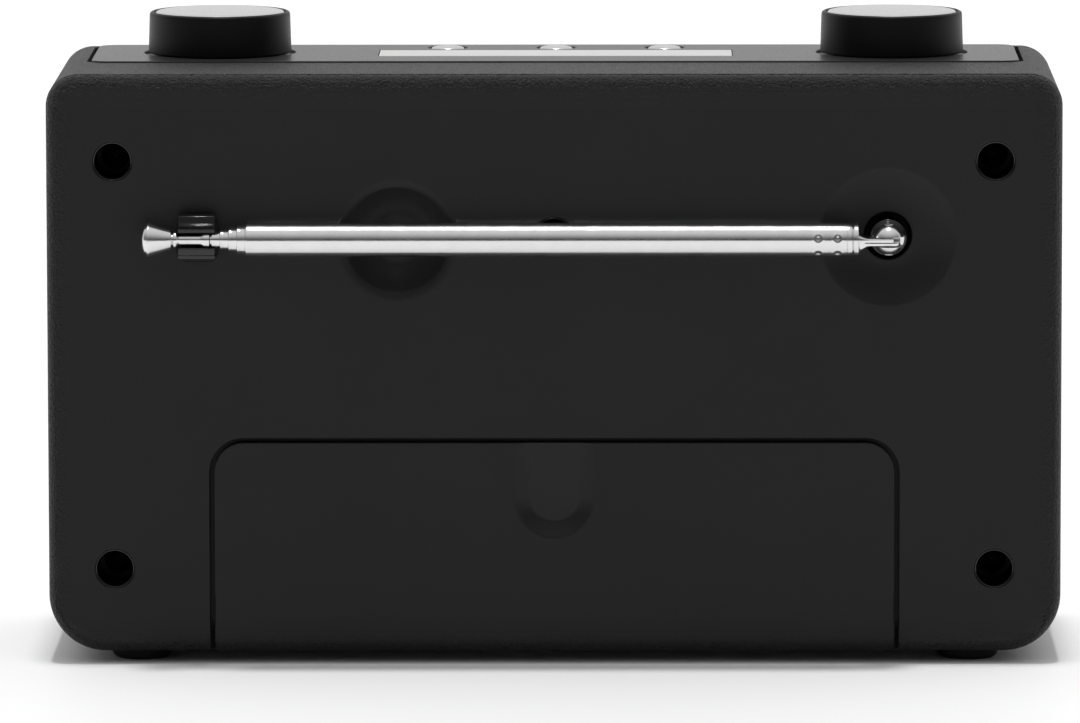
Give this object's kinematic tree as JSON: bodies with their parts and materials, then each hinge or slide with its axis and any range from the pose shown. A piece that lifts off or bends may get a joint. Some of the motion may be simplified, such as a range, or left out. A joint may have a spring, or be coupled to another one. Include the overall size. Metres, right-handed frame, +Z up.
{
  "type": "tabletop radio",
  "caption": "Tabletop radio: rounded black case, rotary knobs, top display and keys, slotted speaker grille, sliding battery door and folding telescopic aerial.",
  "frame": {"origin": "under the middle of the whole radio, at the level the feet stand on", "axes": "+Z up, +X along the width, front grille faces -Y, rear cover and aerial face +Y"},
  "size_m": [0.205, 0.0764, 0.1287],
  "materials": {
    "shell_black": "fine grained matt",
    "plate_black": "smooth satin",
    "gloss_black": "gloss",
    "display_lens": "clear lens over a pale display",
    "display_cell": "pale display cell",
    "chrome": "polished",
    "brushed_cap": "brushed in circles",
    "steel": "plain",
    "nickel": "nickel plated",
    "rubber": "matt",
    "cone_paper": "pressed paper",
    "board_green": "satin",
    "wire_red": "satin",
    "wire_grey": "satin"
  },
  "bodies": {
    "radio_body": {"cabinet": "shell_black", "rear_cover": "shell_black", "top_plate": "plate_black", "display_window": "display_lens", "display_module": "display_cell", "key_board": "board_green", "volume_encoder": "steel", "tuning_encoder": "steel", "front_grille": "plate_black", "speaker_basket": "steel", "speaker_magnet": "steel", "main_board": "board_green", "tuner_shield": "nickel", "socket_board": "board_green", "dc_socket": "plate_black", "headphone_socket": "plate_black", "battery_tray": "shell_black", "battery_link": "nickel", "battery_terminal_upper": "nickel", "battery_terminal_lower": "nickel", "battery_spring_upper": "nickel", "battery_spring_lower": "nickel", "foot_1": "rubber", "foot_2": "rubber", "foot_3": "rubber", "foot_4": "rubber", "rear_screw_1": "steel", "rear_screw_2": "steel", "rear_screw_3": "steel", "rear_screw_4": "steel", "rear_screw_5": "steel", "aerial_clip": "gloss_black", "aerial_bushing": "nickel", "speaker_lead": "wire_red", "battery_lead": "wire_grey", "aerial_lead": "wire_grey", "key_lead": "wire_grey", "socket_lead": "wire_grey"},
    "volume_control": {"volume_shaft": "steel", "volume_knob": "plate_black", "volume_knob_cap": "brushed_cap"},
    "tuning_sleeve": {"tuning_rotor": "steel"},
    "tuning_control": {"tuning_shaft": "steel", "tuning_knob": "plate_black", "tuning_knob_cap": "brushed_cap"},
    "key_left": {"button_left": "chrome"},
    "key_middle": {"button_middle": "chrome"},
    "key_right": {"button_right": "chrome"},
    "speaker_diaphragm": {"speaker_cone": "cone_paper"},
    "battery_cover": {"battery_door": "shell_black"},
    "aerial_base": {"aerial_head": "chrome", "aerial_pin": "steel", "aerial_screw": "steel"},
    "aerial_mast": {"aerial_knuckle": "chrome", "aerial_tube_1": "chrome"},
    "aerial_section_2": {"aerial_tube_2": "chrome"},
    "aerial_section_3": {"aerial_tube_3": "chrome"},
    "aerial_section_4": {"aerial_tube_4": "chrome"},
    "aerial_section_5": {"aerial_tube_5": "chrome"},
    "aerial_section_rod": {"aerial_rod": "chrome"}
  },
  "joints": [
    {"name": "volume_turn", "type": "hinge", "parent": "radio_body", "child": "volume_control", "pos_m": [0.0691, -0.019, 0.1199], "axis": [0, 0, 1], "continuous": true},
    {"name": "tuning_turn", "type": "hinge", "parent": "radio_body", "child": "tuning_sleeve", "pos_m": [-0.0691, -0.019, 0.1199], "axis": [0, 0, 1], "continuous": true},
    {"name": "tuning_press", "type": "slide", "parent": "tuning_sleeve", "child": "tuning_control", "axis": [0, 0, -1], "range_m": [0, 0.0005], "stiffness_N_per_m": 600, "springref_m": -0.001},
    {"name": "key_left_press", "type": "slide", "parent": "radio_body", "child": "key_left", "axis": [0, 0, -1], "range_m": [0, 0.0004], "stiffness_N_per_m": 800, "springref_m": -0.0008},
    {"name": "key_middle_press", "type": "slide", "parent": "radio_body", "child": "key_middle", "axis": [0, 0, -1], "range_m": [0, 0.0004], "stiffness_N_per_m": 800, "springref_m": -0.0008},
    {"name": "key_right_press", "type": "slide", "parent": "radio_body", "child": "key_right", "axis": [0, 0, -1], "range_m": [0, 0.0004], "stiffness_N_per_m": 800, "springref_m": -0.0008},
    {"name": "speaker_stroke", "type": "slide", "parent": "radio_body", "child": "speaker_diaphragm", "axis": [0, 1, 0], "range_m": [-0.0006, 0.0006], "stiffness_N_per_m": 2000},
    {"name": "battery_door_slide", "type": "slide", "parent": "radio_body", "child": "battery_cover", "axis": [0, 0, -1], "range_m": [0, 0.046]},
    {"name": "aerial_swivel", "type": "hinge", "parent": "radio_body", "child": "aerial_base", "pos_m": [-0.0673, 0.0298, 0.087], "axis": [0, 1, 0], "continuous": true, "deforming": ["aerial_clip"]},
    {"name": "aerial_tilt", "type": "hinge", "parent": "aerial_base", "child": "aerial_mast", "pos_m": [-0.0673, 0.0346, 0.087], "axis": [0, 0, 1], "range_deg": [0, 90]},
    {"name": "aerial_slide_2", "type": "slide", "parent": "aerial_mast", "child": "aerial_section_2", "axis": [1, 0, 0], "range_m": [0, 0.11]},
    {"name": "aerial_slide_3", "type": "slide", "parent": "aerial_section_2", "child": "aerial_section_3", "axis": [1, 0, 0], "range_m": [0, 0.11]},
    {"name": "aerial_slide_4", "type": "slide", "parent": "aerial_section_3", "child": "aerial_section_4", "axis": [1, 0, 0], "range_m": [0, 0.11]},
    {"name": "aerial_slide_5", "type": "slide", "parent": "aerial_section_4", "child": "aerial_section_5", "axis": [1, 0, 0], "range_m": [0, 0.11]},
    {"name": "aerial_slide_rod", "type": "slide", "parent": "aerial_section_5", "child": "aerial_section_rod", "axis": [1, 0, 0], "range_m": [0, 0.11]}
  ]
}
